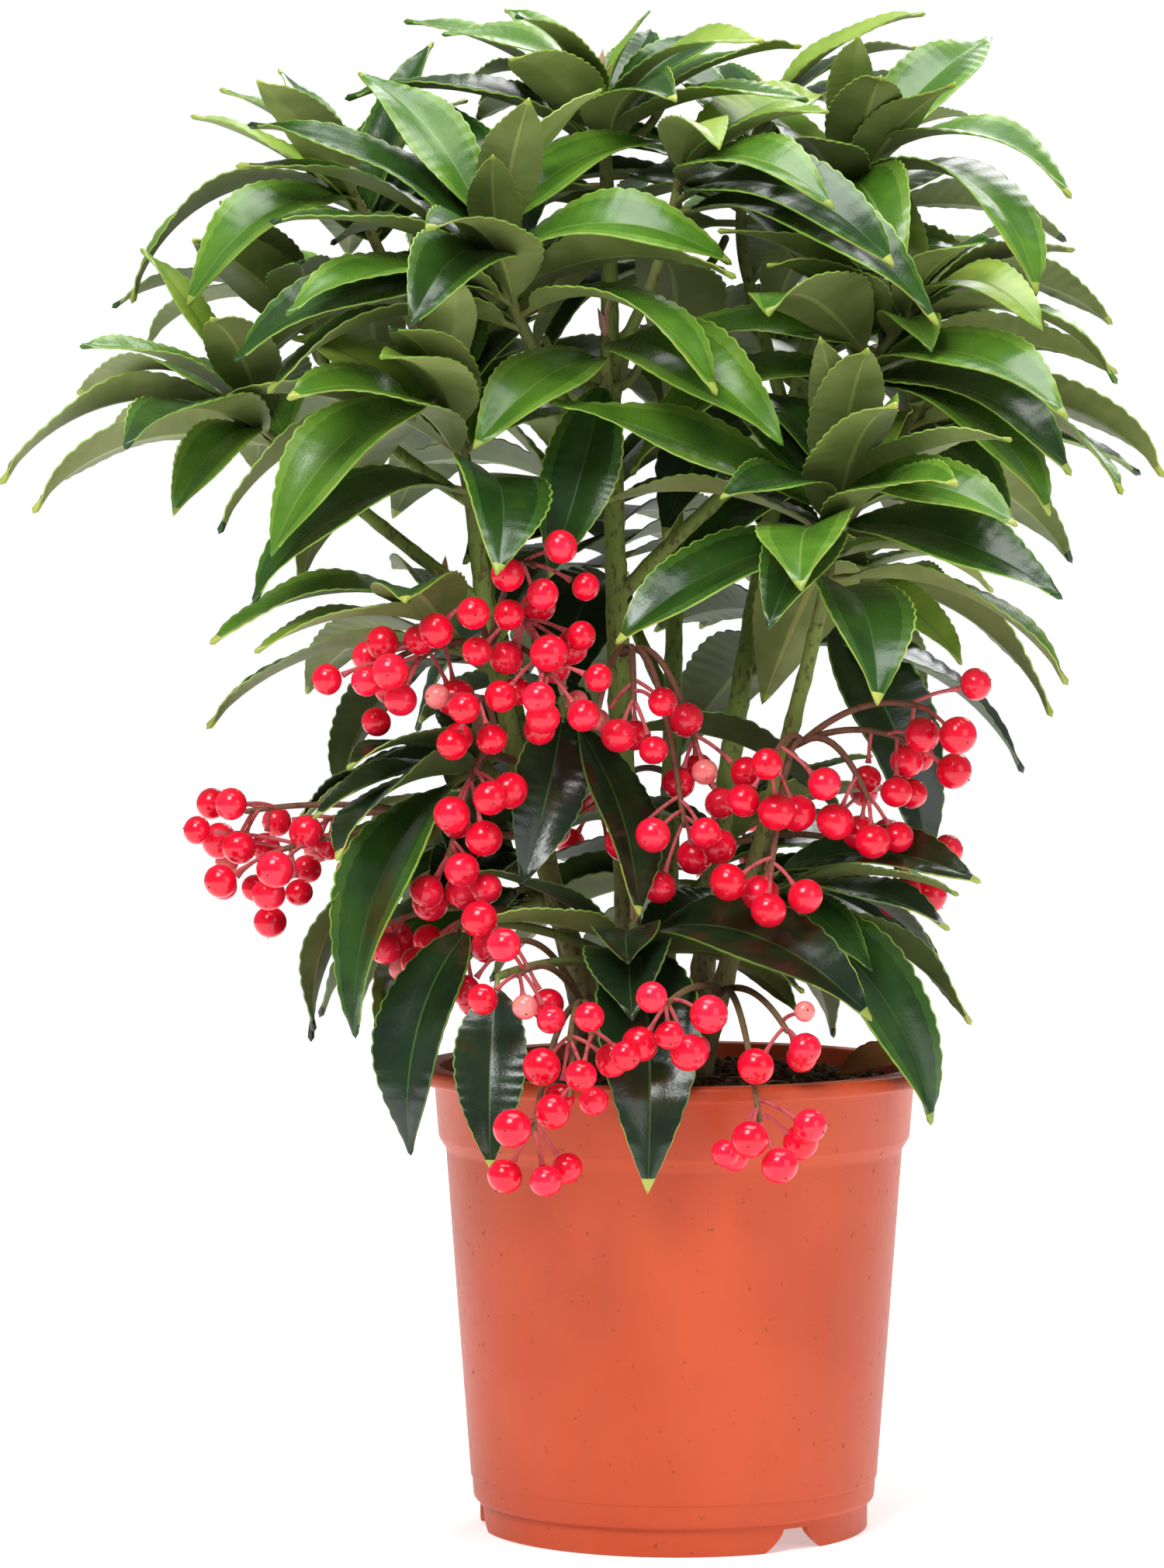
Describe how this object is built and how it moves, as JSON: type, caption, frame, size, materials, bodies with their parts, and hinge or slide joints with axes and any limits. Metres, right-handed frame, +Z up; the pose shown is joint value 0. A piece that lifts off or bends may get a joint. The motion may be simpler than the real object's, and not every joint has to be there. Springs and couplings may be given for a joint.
{
  "type": "potted coral ardisia",
  "caption": "Bushy evergreen shrub with arching glossy leaves over hanging clusters of round red berries, growing in a plain tapered plastic nursery pot.",
  "frame": {"origin": "middle of the flat underside of the pot, on the pot's axis", "axes": "+Z up along the pot's axis, the front of the plant faces -Y, +X to its right as seen from the front"},
  "size_m": [0.3359, 0.2598, 0.4397],
  "materials": {
    "pot": "satin terracotta-coloured moulded plastic with faint dirt",
    "soil": "dark moist peat, rough and fibrous",
    "stem": "olive-green bark speckled with brown",
    "leaf": "glossy dark green leaves with a lighter midrib and bright scalloped edges",
    "berry": "smooth bright red berries on pinkish stalks"
  },
  "bodies": {
    "root": {"berries_back": "berry", "berries_centre": "berry", "berries_front_left": "berry", "berries_front_right": "berry", "berries_left_low": "berry", "berries_left_mid": "berry", "berries_left_outer": "berry", "berries_left_upper": "berry", "berries_right": "berry", "berries_right_outer": "berry", "bough_back_low": "stem", "bough_back_right": "stem", "bough_centre_front": "stem", "bough_left_back": "stem", "bough_left_crest": "stem", "bough_left_outer": "stem", "bough_left_top": "stem", "bough_right_crest": "stem", "bough_right_mid": "stem", "bough_right_outer": "stem", "foliage_back_crest": "leaf", "foliage_back_left": "leaf", "foliage_back_low": "leaf", "foliage_back_right": "leaf", "foliage_centre_front": "leaf", "foliage_crown_top": "leaf", "foliage_left_back": "leaf", "foliage_left_crest": "leaf", "foliage_left_low": "leaf", "foliage_left_mid": "leaf", "foliage_left_outer": "leaf", "foliage_left_top": "leaf", "foliage_right_crest": "leaf", "foliage_right_front": "leaf", "foliage_right_low": "leaf", "foliage_right_mid": "leaf", "foliage_right_outer": "leaf", "foliage_right_top": "leaf", "foliage_stem_front": "leaf", "pot": "pot", "skirt_back_left": "leaf", "skirt_back_right": "leaf", "skirt_centre": "leaf", "skirt_front": "leaf", "skirt_left": "leaf", "skirt_right": "leaf", "soil": "soil", "stem_back": "stem", "stem_back_left": "stem", "stem_back_right": "stem", "stem_left": "stem", "stem_main": "stem", "stem_right": "stem"}
  },
  "joints": []
}
